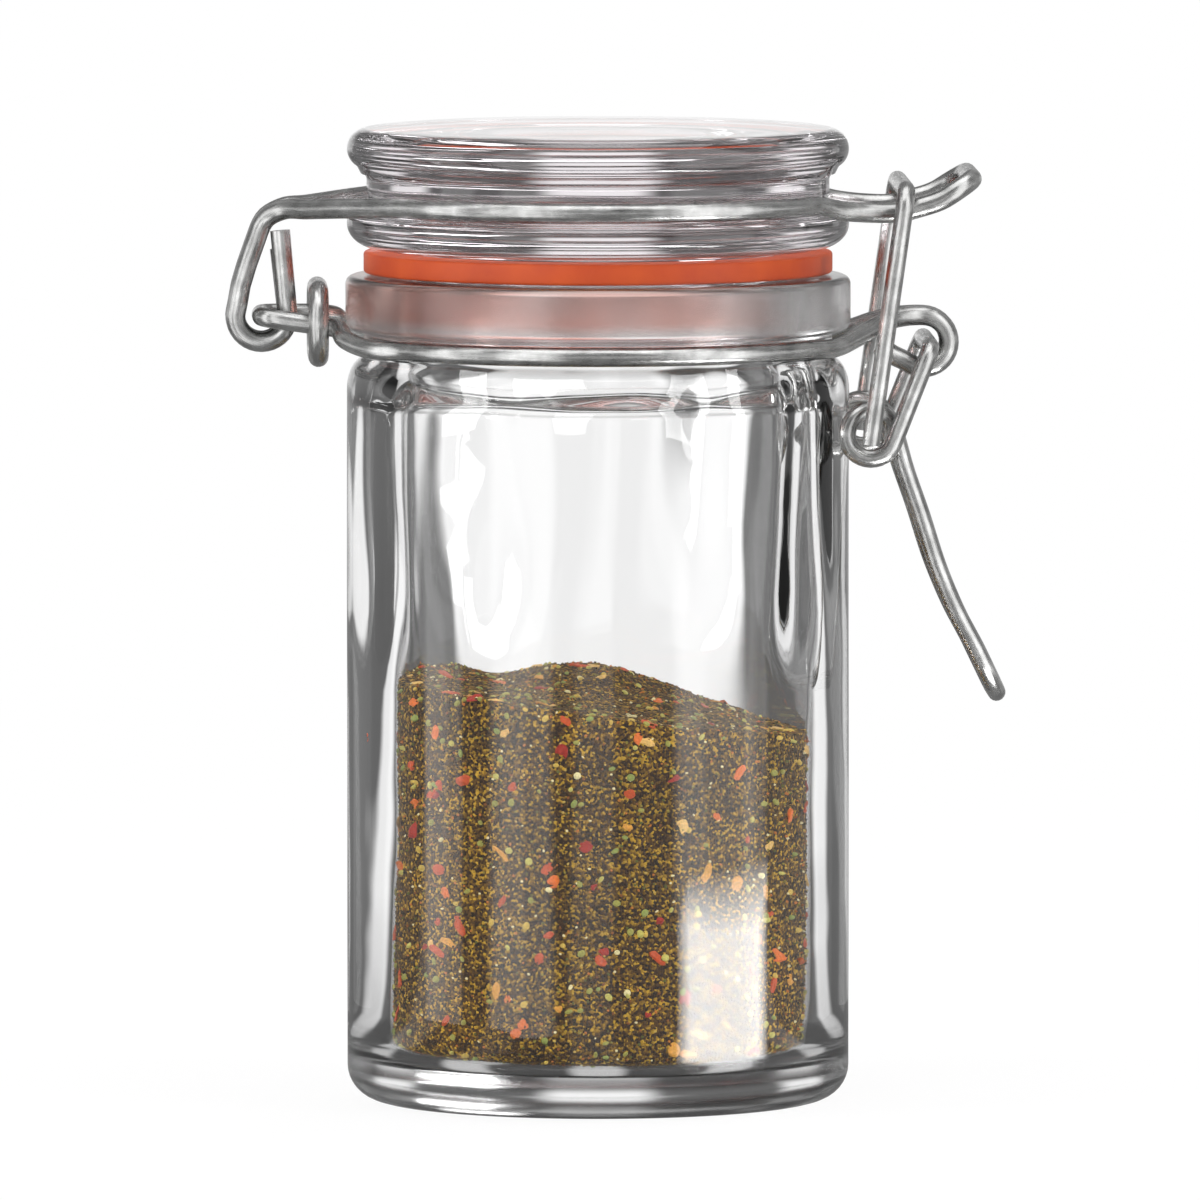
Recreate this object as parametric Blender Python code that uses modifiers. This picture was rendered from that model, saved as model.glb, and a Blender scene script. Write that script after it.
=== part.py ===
# Small clip-top preserving jar: glass jar, glass lid, rubber ring, wire hinge and over-centre wire clasp.
# Metres, +Z up, origin at the centre of the base, hinge on the -X side and clasp on the +X side.
import math

import bmesh
import bpy
from mathutils import Vector

MM = 0.001
CLEAR = 0.3  # gap between neighbouring pieces, in mm like every size below

# Glass jar
BODY_RADIUS = 24.95
WALL = 4.25
FLOOR = 4.0
BASE_CORNER = 3.45
BODY_HEIGHT = 70.7  # where the straight side ends and the shoulder starts
SHOULDER = 3.2
NECK_STEP = 1.65  # how far the neck stands in from the side
NECK_HEIGHT = 2.8
COLLAR_HEIGHT = 5.4
COLLAR_LIP = 0.15  # how far the collar stands out from the side
COLLAR_EDGE = 0.8
RIM_WIDTH = 5.5  # from the mouth to the edge of the collar
INNER_SHOULDER = 4.0
ROUND_STEPS = 48  # faces round a turned piece

# Glass lid
RIM_HEIGHT = 4.4
GROOVE_HEIGHT = 4.0
GROOVE_DEPTH = 1.95
FLANGE_HEIGHT = 3.5
FLANGE_TAPER = 3.2  # how far the flange's foot stands in from its widest part
PLUG_DEPTH = 3.4
PLUG_GAP = 0.75
PLUG_WALL = 4.5
PLUG_HOLLOW = 3.6

# Rubber ring
GASKET_THICKNESS = 2.1
GASKET_STEP = 1.8  # how far the ring's edge stands in from the collar's
GASKET_CORNER = 0.35

# Dried herb mix
FILL_TOP = 39.9
FILL_HEAP = 2.6
FILL_PEAK = (2.0, 8.0)
FILL_SPREAD = 90.0
FILL_SLOPE = 0.135
FILL_RINGS = 5

# Wires, by radius
NECK_WIRE = 0.95
LID_WIRE = 1.0
LEVER_WIRE = 0.9
LINK_WIRE = 0.9
RING_WIRE = 1.0
ARC_STEP = math.radians(20)  # turn between two points of a small bend
LOOP_STEP = math.radians(9)  # turn between two points round the neck or the lid
WIRE_SPAN = 2.2  # length between two points of a free bend

# Hinge, measured from the jar's side and from the neck wire's loop
HINGE_OUT = 8.5
HINGE_RISE = 2.7
HOOK_RADIUS = 2.6
HOOK_START = math.radians(180)
HOOK_HALF_GAP = 0.25
STUB_HEIGHTS = (8.5, 6.6)  # front and rear ends of the lid wire above the hinge
STUB_LEAN = 0.75
NECK_LEG_BEND = 1.6
NECK_LEG_RISES = (1.9, 2.7)  # front and rear leg above the neck wire's loop
NECK_LEG_OUT = 3.0  # where the legs stop being parallel
NECK_HINGE_LEAVE = math.radians(38.0)
# Out, beyond the leg, and as a share of the leg's rise
NECK_FLARE = ((1.3, 1.0, 0.9), (0.35, 4.8, 0.42), (-2.2, 8.8, 0.0))
LID_HINGE_LEAVE = math.radians(42.5)
# Out, half width and rise
LID_KNEE = ((-0.95, 9.7, -0.3), (4.05, 4.2, -0.7), (6.5, 1.9, -0.9), (7.9, 1.25, -1.6))
LID_LEG = ((0.75, 4.4), (1.45, 6.4), (2.05, 8.4), (2.4, 10.4))  # out from the hinge, down from the lid wire
RING_OUT = 2.9
RING_RISE = 2.05  # above the neck wire's loop
RING_HALF_HEIGHT = 3.3

# Clasp, measured the same way
EYE_OUT = 7.35
EYE_RADIUS = 2.6
EYE_HALF_GAP = 0.25
EYE_END = math.radians(-128)
EYE_TAIL = ((3.0, -1.35), (4.4, -0.4))  # in and up from the eye's centre
NECK_CLASP_LEAVE = math.radians(35.0)
NECK_CLASP_ROUTE = ((-1.45, 9.7, 0.05), (0.55, 7.2, 0.85), (2.55, 4.5, 1.75), (4.55, 2.2, 2.4))
PIVOT_SHIFT = (0.4, -0.1)  # lever's pivot, from the eye's centre
COIL_IN = 5.95  # coil's centre, from the pivot
COIL_DROP = 8.6
COIL_RADIUS = 2.38
COIL_GAP = 0.1
LEVER_HALF_WIDTH = 9.4
LEVER_BEND = 1.6
BAR_END = 0.15
# Out and down from the coil
HANDLE_ROUTE = ((3.55, 3.7), (4.95, 7.7), (6.95, 13.8), (8.65, 17.8), (10.75, 21.8))
HANDLE_TIP = (12.75, 26.0)
HANDLE_CORNER = 3.6
LINK_LEAN = 3.45  # link's bar beyond the coil's centre
LINK_BEND = 2.2
LINK_SEAT = 0.1
LID_CLASP_LEAVE = math.radians(31.2)
NOSE_ROUTE = ((-0.45, 9.5, -0.7), (2.05, 8.4, -0.9), (4.55, 8.0, -0.9), (6.65, 8.0, -0.4), (9.35, 8.0, 0.6))
NOSE_TIP = (11.95, 8.0, 2.3)
NOSE_CORNER = 2.6

# What follows from the sizes above
cavity_radius = BODY_RADIUS - WALL
neck_radius = BODY_RADIUS - NECK_STEP
collar_radius = BODY_RADIUS + COLLAR_LIP
mouth_radius = collar_radius - RIM_WIDTH
shoulder_top = BODY_HEIGHT + SHOULDER
collar_low = shoulder_top + NECK_HEIGHT
collar_top = collar_low + COLLAR_HEIGHT
plug_radius = mouth_radius - PLUG_GAP
seat_z = collar_top + CLEAR
flange_low = seat_z + GASKET_THICKNESS + CLEAR
groove_low = flange_low + FLANGE_HEIGHT
groove_top = groove_low + GROOVE_HEIGHT
lid_top = groove_top + RIM_HEIGHT
groove_radius = BODY_RADIUS - GROOVE_DEPTH
neck_loop = neck_radius + CLEAR + NECK_WIRE
neck_z = collar_low - CLEAR - NECK_WIRE
lid_loop = groove_radius + CLEAR + LID_WIRE
lid_wire_z = groove_low + CLEAR + LID_WIRE
hinge_x = -(BODY_RADIUS + HINGE_OUT)
hinge_z = neck_z + HINGE_RISE
hook_y = HOOK_HALF_GAP + LID_WIRE
leg_y = hook_y + LID_WIRE + CLEAR + NECK_WIRE
eye_x = BODY_RADIUS + EYE_OUT
eye_z = neck_z
eye_y = EYE_HALF_GAP + NECK_WIRE
pivot_x = eye_x + PIVOT_SHIFT[0]
pivot_z = eye_z + PIVOT_SHIFT[1]
coil_x = pivot_x - COIL_IN
coil_z = pivot_z - COIL_DROP
handle_y = LEVER_HALF_WIDTH - 2 * LEVER_WIRE - COIL_GAP
link_y = LEVER_HALF_WIDTH + LEVER_WIRE + CLEAR + LINK_WIRE
link_x = coil_x + LINK_LEAN
link_z = lid_wire_z + NOSE_ROUTE[2][2] + LID_WIRE + CLEAR + LINK_SEAT + LINK_WIRE


def clear_scene():
    for old in list(bpy.data.objects):
        bpy.data.objects.remove(old)


def make_collection(name):
    group = bpy.data.collections.new(name)
    bpy.context.scene.collection.children.link(group)
    return group


def make_material(name, colour, roughness, metallic=0.0, transmission=0.0):
    material = bpy.data.materials.new(name)
    material.use_nodes = True
    shader = material.node_tree.nodes["Principled BSDF"]
    shader.inputs["Base Color"].default_value = (*colour, 1.0)
    shader.inputs["Roughness"].default_value = roughness
    shader.inputs["Metallic"].default_value = metallic
    shader.inputs["Transmission Weight"].default_value = transmission
    return material


def add_object(name, data, material, group):
    made = bpy.data.objects.new(name, data)
    data.materials.append(material)
    group.objects.link(made)
    return made


def corner(centre, radius, start, end, count):
    """Points of an arc in a turned profile, from start to end in degrees."""
    points = []
    for i in range(count + 1):
        turn = math.radians(start + (end - start) * i / count)
        points.append((centre[0] + radius * math.cos(turn), centre[1] + radius * math.sin(turn)))
    return points


def turned(name, profile, closed, material, group):
    """A turned piece from (radius, height) points that run down its outer side."""
    mesh = bpy.data.meshes.new(name)
    outline = bmesh.new()
    verts = [outline.verts.new((r * MM, 0.0, z * MM)) for r, z in profile]
    for a, b in zip(verts, verts[1:]):
        outline.edges.new((a, b))
    if closed:
        outline.edges.new((verts[-1], verts[0]))
    outline.to_mesh(mesh)
    outline.free()
    made = add_object(name, mesh, material, group)
    screw = made.modifiers.new("turn", "SCREW")
    screw.axis = "Z"
    screw.steps = screw.render_steps = ROUND_STEPS
    screw.use_merge_vertices = True
    screw.merge_threshold = 0.00001
    screw.use_smooth_shade = True
    return made


def make_jar(material, group):
    edge = COLLAR_EDGE
    bend = BASE_CORNER * 0.7
    inner_top = shoulder_top - 1.0
    profile = [(0.0, FLOOR), (cavity_radius - bend, FLOOR)]
    profile += corner((cavity_radius - bend, FLOOR + bend), bend, -90, 0, 3)[1:]
    profile += [
        (cavity_radius, inner_top - INNER_SHOULDER),
        (cavity_radius - 0.25 * (cavity_radius - mouth_radius), inner_top - INNER_SHOULDER / 2),
        (mouth_radius, inner_top),
        (mouth_radius, collar_top - edge),
        (mouth_radius + edge, collar_top),
    ]
    profile += corner((collar_radius - edge, collar_top - edge), edge, 90, 0, 3)
    profile += corner((collar_radius - edge, collar_low + edge), edge, 0, -90, 2)
    profile += [(neck_radius, collar_low), (neck_radius, shoulder_top)]
    for step in range(1, 5):
        turn = math.radians(90 - 90 * step / 4)
        radius = neck_radius + NECK_STEP * math.cos(turn)
        profile.append((radius, shoulder_top - SHOULDER * (1 - math.sin(turn))))
    profile += corner((BODY_RADIUS - BASE_CORNER, BASE_CORNER), BASE_CORNER, 0, -90, 4)
    profile.append((0.0, 0.0))
    return turned("glass_jar", profile, False, material, group)


def make_lid(material, group):
    rim = RIM_HEIGHT * 0.45
    plug_low = flange_low - PLUG_DEPTH
    widest = flange_low + FLANGE_HEIGHT * 0.7
    foot = BODY_RADIUS - FLANGE_TAPER
    hollow = plug_radius - PLUG_WALL
    profile = [(0.0, lid_top), (BODY_RADIUS - rim, lid_top)]
    profile += corner((BODY_RADIUS - rim, lid_top - rim), rim, 90, -60, 6)[1:]
    profile += [(groove_radius, groove_top), (groove_radius, groove_low), (BODY_RADIUS - 0.5, groove_low)]
    for step in range(4):
        turn = math.radians(90 * step / 3)
        radius = foot + FLANGE_TAPER * math.cos(turn)
        profile.append((radius, widest - (widest - flange_low) * math.sin(turn)))
    profile += [
        (plug_radius, flange_low),
        (plug_radius, plug_low + 0.6),
        (plug_radius - 0.6, plug_low),
        (hollow + 0.6, plug_low),
        (hollow, plug_low + 0.6),
        (hollow - 1.0, plug_low + PLUG_HOLLOW),
        (0.0, plug_low + PLUG_HOLLOW),
    ]
    return turned("glass_lid", profile, False, material, group)


def make_gasket(material, group):
    inner = plug_radius + CLEAR
    outer = collar_radius - GASKET_STEP
    low, high = seat_z, seat_z + GASKET_THICKNESS
    cut = GASKET_CORNER
    profile = [
        (inner, high), (outer - cut, high), (outer, high - cut),
        (outer, low + cut), (outer - cut, low), (inner, low),
    ]
    return turned("rubber_gasket", profile, True, material, group)


def fill_height(x, y):
    """Height of the herbs: a low heap at the back, sloping down to the clasp side."""
    heap = math.exp(-((x - FILL_PEAK[0]) ** 2 + (y - FILL_PEAK[1]) ** 2) / FILL_SPREAD)
    return FILL_TOP + FILL_HEAP * heap - FILL_SLOPE * x


def make_fill(material, group):
    """A round plug of herbs whose top is a heap."""
    radius = cavity_radius - CLEAR
    low = FLOOR + CLEAR
    bend = BASE_CORNER * 0.7
    mesh = bpy.data.meshes.new("herb_filling")
    shape = bmesh.new()

    def ring(r, height):
        verts = []
        for i in range(ROUND_STEPS):
            turn = 2 * math.pi * i / ROUND_STEPS
            x, y = r * math.cos(turn), r * math.sin(turn)
            z = height if height is not None else fill_height(x, y)
            verts.append(shape.verts.new((x * MM, y * MM, z * MM)))
        return verts

    rings = [ring(r, z) for r, z in corner((radius - bend, low + bend), bend, -90, 0, 3)]
    rings += [ring(radius * (1 - k / FILL_RINGS), None) for k in range(FILL_RINGS)]
    centre_low = shape.verts.new((0, 0, low * MM))
    centre_high = shape.verts.new((0, 0, fill_height(0, 0) * MM))
    for i in range(ROUND_STEPS):
        j = (i + 1) % ROUND_STEPS
        for lower, upper in zip(rings, rings[1:]):
            shape.faces.new((lower[i], lower[j], upper[j], upper[i]))
        shape.faces.new((centre_low, rings[0][j], rings[0][i]))
        shape.faces.new((centre_high, rings[-1][i], rings[-1][j]))
    shape.to_mesh(mesh)
    shape.free()
    mesh.shade_smooth()
    return add_object("herb_filling", mesh, material, group)


def rounded(corners, radii):
    """A path through corners, each inner one bent to its radius."""
    path = [Vector(corners[0])]
    for before, at, after, radius in zip(corners, corners[1:], corners[2:], radii):
        at = Vector(at)
        back = (Vector(before) - at).normalized()
        on = (Vector(after) - at).normalized()
        half = back.angle(on) / 2
        centre = at + (back + on).normalized() * (radius / math.sin(half))
        a = at + back * (radius / math.tan(half)) - centre
        b = at + on * (radius / math.tan(half)) - centre
        turn = math.pi - 2 * half
        count = max(2, round(turn / ARC_STEP))
        for i in range(count + 1):
            share = i / count
            arm = (a * math.sin((1 - share) * turn) + b * math.sin(share * turn)) / math.sin(turn)
            path.append(centre + arm)
    path.append(Vector(corners[-1]))
    return path


def arc_xz(centre, radius, y, start, end):
    """Points round a centre in the XZ plane, from angle start to end."""
    count = max(2, math.ceil(abs(end - start) / ARC_STEP))
    points = []
    for i in range(count + 1):
        turn = start + (end - start) * i / count
        points.append(Vector((centre[0] + radius * math.cos(turn), y, centre[1] + radius * math.sin(turn))))
    return points


def loop_arc(radius, z, start, end):
    """Points round the jar's axis, from angle start to end."""
    count = math.ceil(abs(end - start) / LOOP_STEP)
    points = []
    for i in range(count + 1):
        turn = start + (end - start) * i / count
        points.append(Vector((radius * math.cos(turn), radius * math.sin(turn), z)))
    return points


def smooth_route(before, route, after):
    """A smooth way from the end of one run, through a route's points, to the start of the next run."""
    knots = [*before[-2:], *(Vector(p) for p in route), *after[:2]]
    spans = [(b - a).length for a, b in zip(knots, knots[1:])]
    path = []
    for i in range(1, len(knots) - 2):
        slopes = []
        for k in (i, i + 1):
            left = (knots[k] - knots[k - 1]) / spans[k - 1]
            right = (knots[k + 1] - knots[k]) / spans[k]
            slopes.append((left * spans[k] + right * spans[k - 1]) / (spans[k - 1] + spans[k]))
        count = max(1, round(spans[i] / WIRE_SPAN))
        for step in range(count):
            t = step / count
            path.append(
                knots[i] * (2 * t**3 - 3 * t**2 + 1)
                + slopes[0] * (spans[i] * (t**3 - 2 * t**2 + t))
                + knots[i + 1] * (3 * t**2 - 2 * t**3)
                + slopes[1] * (spans[i] * (t**3 - t**2))
            )
    return before[:-1] + path + after


def outward(side, route, height):
    """A route's (out, half width, rise) rows as points beyond the jar's side, on the -Y half."""
    return [(side * (BODY_RADIUS + out), -half, height + rise) for out, half, rise in route]


def mirrored(half):
    """The same path on the +Y side."""
    return [Vector((p.x, -p.y, p.z)) for p in half]


def both_sides(front, rear):
    """One wire from the rear free end, through the middle, to the front free end."""
    return list(reversed(mirrored(rear))) + front[1:]


def make_wire(name, path, radius, material, group, closed=False):
    curve = bpy.data.curves.new(name, "CURVE")
    curve.dimensions = "3D"
    curve.bevel_depth = radius * MM
    curve.bevel_resolution = 2
    curve.use_fill_caps = True
    points = [path[0]]
    for point in path[1:]:
        if (point - points[-1]).length >= 0.2:
            points.append(point)
    spline = curve.splines.new("POLY")
    spline.use_cyclic_u = closed
    spline.points.add(len(points) - 1)
    for slot, point in zip(spline.points, points):
        slot.co = (*(point * MM), 1.0)
    return add_object(name, curve, material, group)


def neck_half(leg_rise):
    """Half of the neck wire: hinge bar, leg, round the neck, out to the clasp's eye and its tail."""
    leg_x = -(BODY_RADIUS + NECK_LEG_OUT)
    bar = [(hinge_x, 0.0, hinge_z), (hinge_x, -leg_y, hinge_z), (leg_x, -leg_y, neck_z + leg_rise)]
    leg = rounded(bar, [NECK_LEG_BEND])
    loop = loop_arc(neck_loop, neck_z, math.pi + NECK_HINGE_LEAVE, 2 * math.pi - NECK_CLASP_LEAVE)
    flare = [(out, leg_y + wider, leg_rise * share) for out, wider, share in NECK_FLARE]
    path = smooth_route(leg, outward(-1, flare, neck_z), loop)
    eye = arc_xz((eye_x, eye_z), EYE_RADIUS, -eye_y, math.pi / 2, EYE_END)
    path = smooth_route(path, outward(1, NECK_CLASP_ROUTE, neck_z), eye)
    return path + [Vector((eye_x - inward, -eye_y, eye_z + up)) for inward, up in EYE_TAIL]


def lid_half(stub_height):
    """Half of the lid wire: nose tip, V to the groove, round the lid, V to the hinge, hook and end."""
    route = outward(1, NOSE_ROUTE, lid_wire_z)
    tip = outward(1, (NOSE_TIP,), lid_wire_z)[0]
    nose = rounded([(tip[0], 0.0, tip[2]), tip, route[-1]], [NOSE_CORNER])
    loop = loop_arc(lid_loop, lid_wire_z, 2 * math.pi - LID_CLASP_LEAVE, math.pi + LID_HINGE_LEAVE)
    path = smooth_route(nose, route[-2::-1], loop)
    leg = [Vector((hinge_x - out, -hook_y, lid_wire_z - down)) for out, down in LID_LEG]
    hook = arc_xz((hinge_x, hinge_z), HOOK_RADIUS, -hook_y, HOOK_START, 2 * math.pi)
    path = smooth_route(path, outward(-1, LID_KNEE, lid_wire_z), leg)
    path = smooth_route(path, (), hook)
    path.append(Vector((hinge_x + HOOK_RADIUS - STUB_LEAN, -hook_y, hinge_z + stub_height)))
    return path


def touch_angle(x, z, side):
    """Angle round the coil where a straight line from (x, z) meets it, on the side given."""
    dx, dz = x - coil_x, z - coil_z
    return math.atan2(dz, dx) + side * math.acos(COIL_RADIUS / math.hypot(dx, dz))


def make_lever(material, group):
    route = [Vector((coil_x + out, -handle_y, coil_z - down)) for out, down in HANDLE_ROUTE]
    tip_x, tip_z = coil_x + HANDLE_TIP[0], coil_z - HANDLE_TIP[1]
    half = rounded([(tip_x, 0.0, tip_z), (tip_x, -handle_y, tip_z), route[-1]], [HANDLE_CORNER])
    start = touch_angle(route[0].x, route[0].z, 1.0)
    end = 2 * math.pi + touch_angle(pivot_x, pivot_z, -1.0)
    coil = arc_xz((coil_x, coil_z), COIL_RADIUS, -handle_y, start, end)
    for i, point in enumerate(coil):
        share = min(1.0, (end - start) * i / (len(coil) - 1) / (math.pi - start))
        point.y -= (LEVER_HALF_WIDTH - handle_y) * share * share * (3 - 2 * share)
    half = smooth_route(half, route[-2::-1], coil)
    arm = [half[-1], (pivot_x, -LEVER_HALF_WIDTH, pivot_z), (pivot_x, -BAR_END, pivot_z)]
    half = half[:-1] + rounded(arm, [LEVER_BEND])
    return make_wire("clamp_lever", both_sides(half, half), LEVER_WIRE, material, group)


def make_link(material, group):
    corners = [(link_x, 0.0, link_z), (link_x, -link_y, link_z), (coil_x, -link_y, coil_z)]
    half = rounded(corners, [LINK_BEND])
    return make_wire("clamp_link", both_sides(half, half), LINK_WIRE, material, group)


def make_closing_ring(material, group):
    """A flat ring round both legs of the neck wire, longer across the legs than it is high."""
    centre_x = -(BODY_RADIUS + RING_OUT)
    centre_z = neck_z + RING_RISE
    path = []
    for side, first in ((-1, -1.5 * math.pi), (1, -0.5 * math.pi)):
        for i in range(9):
            turn = first + math.pi * i / 8
            y = side * leg_y + RING_HALF_HEIGHT * math.cos(turn)
            path.append(Vector((centre_x, y, centre_z + RING_HALF_HEIGHT * math.sin(turn))))
    return make_wire("closing_ring", path, RING_WIRE, material, group, closed=True)


def main():
    clear_scene()
    group = make_collection("clip_top_jar")
    glass = make_material("clear_glass", (0.93, 0.95, 0.95), 0.03, transmission=1.0)
    rubber = make_material("orange_rubber", (0.80, 0.14, 0.02), 0.55)
    steel = make_material("zinc_wire", (0.62, 0.62, 0.61), 0.32, metallic=1.0)
    herb = make_material("herb_mix", (0.20, 0.14, 0.04), 0.95)
    make_jar(glass, group)
    make_fill(herb, group)
    make_lid(glass, group)
    make_gasket(rubber, group)
    neck_front, neck_rear = (neck_half(rise) for rise in NECK_LEG_RISES)
    make_wire("neck_wire", both_sides(neck_front, neck_rear), NECK_WIRE, steel, group)
    make_closing_ring(steel, group)
    lid_front, lid_rear = (lid_half(height) for height in STUB_HEIGHTS)
    make_wire("lid_wire", both_sides(lid_front, lid_rear), LID_WIRE, steel, group)
    make_link(steel, group)
    make_lever(steel, group)


main()
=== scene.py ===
# Looks for a small clip-top preserving jar of dried herbs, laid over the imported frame.
import math

import bmesh
import bpy
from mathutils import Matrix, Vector, noise


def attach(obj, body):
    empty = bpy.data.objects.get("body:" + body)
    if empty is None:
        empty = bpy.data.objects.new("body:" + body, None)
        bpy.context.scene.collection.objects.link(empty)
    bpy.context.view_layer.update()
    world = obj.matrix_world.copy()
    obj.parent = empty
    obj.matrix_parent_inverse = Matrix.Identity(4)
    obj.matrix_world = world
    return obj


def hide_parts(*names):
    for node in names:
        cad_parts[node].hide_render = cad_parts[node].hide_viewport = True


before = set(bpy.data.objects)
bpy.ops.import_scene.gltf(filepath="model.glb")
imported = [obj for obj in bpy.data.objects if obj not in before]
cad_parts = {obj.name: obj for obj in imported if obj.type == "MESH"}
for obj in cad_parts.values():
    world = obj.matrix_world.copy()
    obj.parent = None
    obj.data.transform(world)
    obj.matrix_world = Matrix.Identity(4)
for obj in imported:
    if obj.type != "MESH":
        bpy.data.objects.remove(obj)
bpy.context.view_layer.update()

mm = 0.001
print("frame loaded:", sorted(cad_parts))


def linearHex(text):
    channels = [int(text[i:i + 2], 16) / 255 for i in (1, 3, 5)]
    return tuple(c / 12.92 if c <= 0.04045 else ((c + 0.055) / 1.055) ** 2.4 for c in channels) + (1.0,)


def addNode(tree, kind, settings=None, links=None):
    node = tree.nodes.new(kind)
    for key, value in (settings or {}).items():
        if isinstance(key, int) or key in node.inputs:
            node.inputs[key].default_value = value
        else:
            setattr(node, key, value)
    for key, socket in (links or {}).items():
        tree.links.new(socket, node.inputs[key])
    return node


def patternScale(size):
    # a pattern's scale from the size of its steps in mm
    return 1 / (size * mm)


def startMaterial(name):
    material = bpy.data.materials.new(name)
    material.use_nodes = True
    material.node_tree.nodes.clear()
    return material, material.node_tree


def finishMaterial(tree, socket):
    addNode(tree, "ShaderNodeOutputMaterial", links={"Surface": socket})


def setRamp(node, stops):
    ramp = node.color_ramp
    while len(ramp.elements) < len(stops):
        ramp.elements.new(0.5)
    for element, (place, colour) in zip(ramp.elements, stops):
        element.position = place
        element.color = linearHex(colour)


def clearGlass(name, tint, marks, frostFrom, frost, footFrost=0.0, rubberReflection=0.0):
    # Soda-lime glass, pressed in a mould: clear, with a faintly uneven skin that bends what is behind it.
    # Heights are in mm. Frost is the roughness of the worn parts, and the last number is the share of the
    # rubber's colour, painted into the collar as its reflection.
    material, tree = startMaterial(name)
    place = addNode(tree, "ShaderNodeTexCoord")
    swell = addNode(
        tree, "ShaderNodeTexNoise", {"Scale": patternScale(14.286), "Detail": 1.5, "Roughness": 0.4},
        {"Vector": place.outputs["Object"]},
    )
    skin = addNode(
        tree, "ShaderNodeBump", {"Strength": marks, "Distance": 1.2 * mm}, {"Height": swell.outputs["Fac"]},
    )
    # The neck ring of the mould is worn, so the collar comes out duller than the side.
    height = addNode(tree, "ShaderNodeSeparateXYZ", links={"Vector": place.outputs["Object"]})
    dull = addNode(
        tree, "ShaderNodeMapRange",
        {"From Min": frostFrom * mm, "From Max": (frostFrom + 1.0) * mm, "To Min": 0.015, "To Max": frost},
        {"Value": height.outputs["Z"]},
    )
    # The foot is scuffed by what it has stood on.
    scuffed = addNode(
        tree, "ShaderNodeMapRange",
        {"From Min": 4.0 * mm, "From Max": 9.0 * mm, "To Min": footFrost, "To Max": 0.0},
        {"Value": height.outputs["Z"]},
    )
    rough = addNode(
        tree, "ShaderNodeMath", {"operation": "MAXIMUM"},
        {0: dull.outputs["Result"], 1: scuffed.outputs["Result"]},
    )
    # Painted reflection: the collar under the sealing ring is tinted with the rubber's colour, in patches,
    # and more of it at the hinge, for the rubber seen in the glass.
    hingeLean = -9.0  # for each metre towards the clasp
    patch = addNode(
        tree, "ShaderNodeTexNoise", {"Scale": patternScale(23.81), "Detail": 1.0},
        {"Vector": place.outputs["Object"]},
    )
    leant = addNode(
        tree, "ShaderNodeMath", {"operation": "MULTIPLY_ADD", 1: hingeLean},
        {0: height.outputs["X"], 2: patch.outputs["Fac"]},
    )
    paintedRubberReflection = addNode(
        tree, "ShaderNodeMapRange",
        {
            "interpolation_type": "SMOOTHSTEP", "From Min": 0.44, "From Max": 0.64, "To Min": 0.03 * rubberReflection,
            "To Max": rubberReflection,
        },
        {"Value": leant.outputs[0]},
    )
    above = addNode(
        tree, "ShaderNodeMapRange",
        {"interpolation_type": "SMOOTHSTEP", "From Min": 77.2 * mm, "From Max": 78.8 * mm},
        {"Value": height.outputs["Z"]},
    )
    share = addNode(
        tree, "ShaderNodeMath", {"operation": "MULTIPLY"},
        {0: paintedRubberReflection.outputs["Result"], 1: above.outputs["Result"]},
    )
    body = addNode(
        tree, "ShaderNodeMix", {"data_type": "RGBA", 6: linearHex(tint), 7: linearHex("#E8703C")},
        {0: share.outputs[0]},
    )
    glass = addNode(
        tree, "ShaderNodeBsdfPrincipled", {"IOR": 1.51, "Transmission Weight": 1.0},
        {"Base Color": body.outputs[2], "Normal": skin.outputs["Normal"], "Roughness": rough.outputs[0]},
    )
    # Lamps reach the herbs through the wall, as they do in a real jar.
    clear = addNode(tree, "ShaderNodeBsdfTransparent", {"Color": (0.93, 0.94, 0.94, 1.0)})
    rays = addNode(tree, "ShaderNodeLightPath")
    both = addNode(
        tree, "ShaderNodeMixShader",
        links={0: rays.outputs["Is Shadow Ray"], 1: glass.outputs[0], 2: clear.outputs[0]},
    )
    finishMaterial(tree, both.outputs[0])
    return material


def orangeRubber():
    # Natural rubber sealing ring, stamped from sheet: satin, with fine talc that breaks up its shine.
    material, tree = startMaterial("stampedOrangeRubber")
    place = addNode(tree, "ShaderNodeTexCoord")
    cloud = addNode(
        tree, "ShaderNodeTexNoise", {"Scale": patternScale(5.556), "Detail": 4.0},
        {"Vector": place.outputs["Object"]},
    )
    colour = addNode(tree, "ShaderNodeValToRGB", links={"Fac": cloud.outputs["Fac"]})
    setRamp(colour, [(0.3, "#A6370A"), (0.7, "#BC4A12")])
    grain = addNode(
        tree, "ShaderNodeTexNoise", {"Scale": patternScale(0.3846), "Detail": 2.0},
        {"Vector": place.outputs["Object"]},
    )
    shine = addNode(
        tree, "ShaderNodeMapRange", {"To Min": 0.38, "To Max": 0.58}, {"Value": cloud.outputs["Fac"]},
    )
    bump = addNode(
        tree, "ShaderNodeBump", {"Strength": 0.12, "Distance": 0.0001}, {"Height": grain.outputs["Fac"]},
    )
    rubber = addNode(
        tree, "ShaderNodeBsdfPrincipled",
        {"IOR": 1.45, "Subsurface Weight": 0.05, "Subsurface Radius": (0.0012, 0.0005, 0.0002)},
        {
            "Base Color": colour.outputs["Color"], "Roughness": shine.outputs["Result"],
            "Normal": bump.outputs["Normal"],
        },
    )
    finishMaterial(tree, rubber.outputs[0])
    return material


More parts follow.
